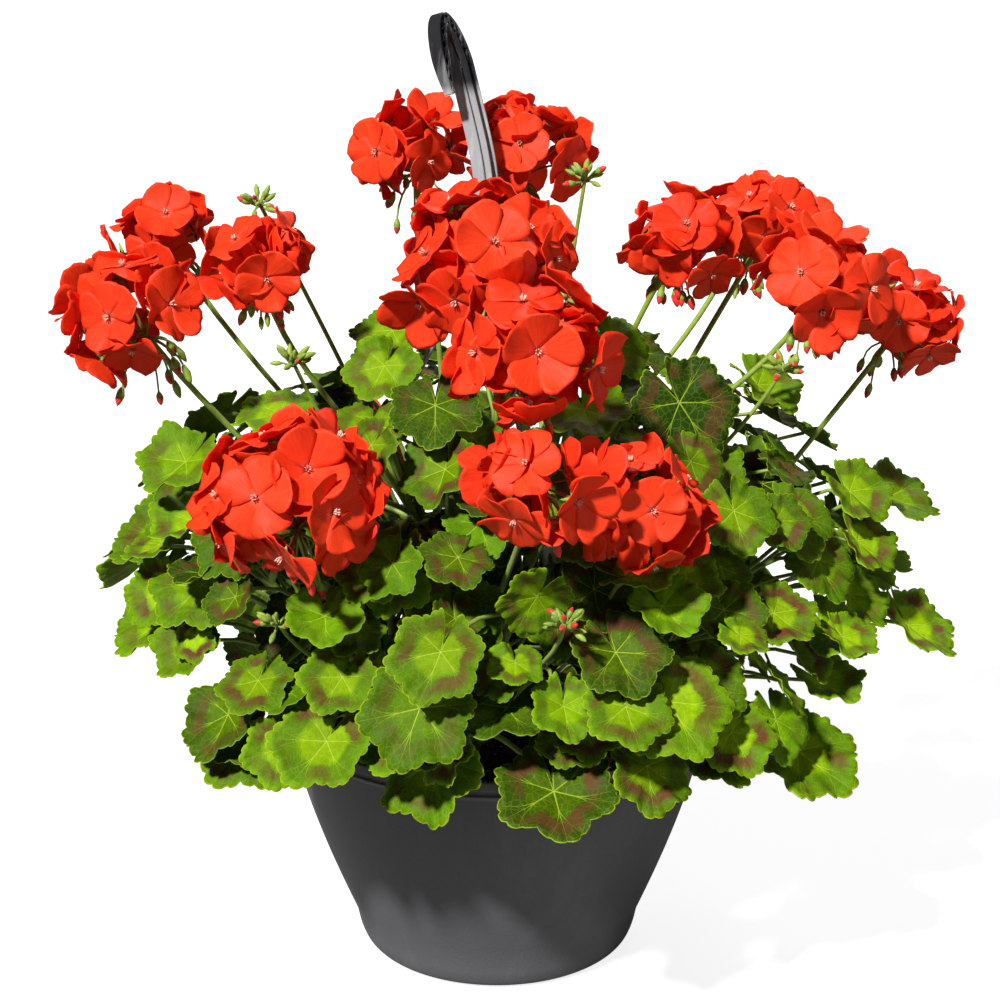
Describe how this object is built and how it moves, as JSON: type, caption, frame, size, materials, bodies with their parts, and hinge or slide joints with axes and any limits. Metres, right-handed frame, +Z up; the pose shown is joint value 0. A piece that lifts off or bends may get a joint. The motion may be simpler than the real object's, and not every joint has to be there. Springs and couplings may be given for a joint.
{
  "type": "hanging geranium plant",
  "caption": "Zonal geranium with rounded orange-red flower heads over a mound of scalloped leaves, growing in a dark hanging pot with a three-armed hook hanger.",
  "frame": {"origin": "centre of the pot's flat foot, on the surface it stands on", "axes": "+Z up through the pot; -Y is the front, as pictured; +X to the right seen from the front"},
  "size_m": [0.4925, 0.4748, 0.5435],
  "materials": {
    "pot_plastic": "dark grey moulded plastic with a soft satin sheen",
    "potting_soil": null,
    "hanger_plastic": "black moulded plastic, semi-gloss",
    "leaf_green": null,
    "petal_red": null
  },
  "bodies": {
    "root": {"pot": "pot_plastic", "soil": "potting_soil", "hanger": "hanger_plastic", "stem_01": "leaf_green", "stem_02": "leaf_green", "stem_03": "leaf_green", "stem_04": "leaf_green", "stem_05": "leaf_green", "stem_06": "leaf_green", "stem_07": "leaf_green", "stem_08": "leaf_green", "stem_09": "leaf_green", "stem_10": "leaf_green", "stem_11": "leaf_green", "stem_12": "leaf_green", "stem_13": "leaf_green", "head_left_upper": "petal_red", "head_left_outer": "petal_red", "head_left_inner": "petal_red", "head_top_left": "petal_red", "head_top_right": "petal_red", "head_centre_upper": "petal_red", "head_centre_lower": "petal_red", "head_right_inner": "petal_red", "head_right_upper": "petal_red", "head_right_middle": "petal_red", "head_right_outer": "petal_red", "head_front_left": "petal_red", "head_front_centre": "petal_red", "head_front_right": "petal_red", "head_back_left": "petal_red", "head_back_centre": "petal_red", "head_back_right": "petal_red"}
  },
  "joints": []
}
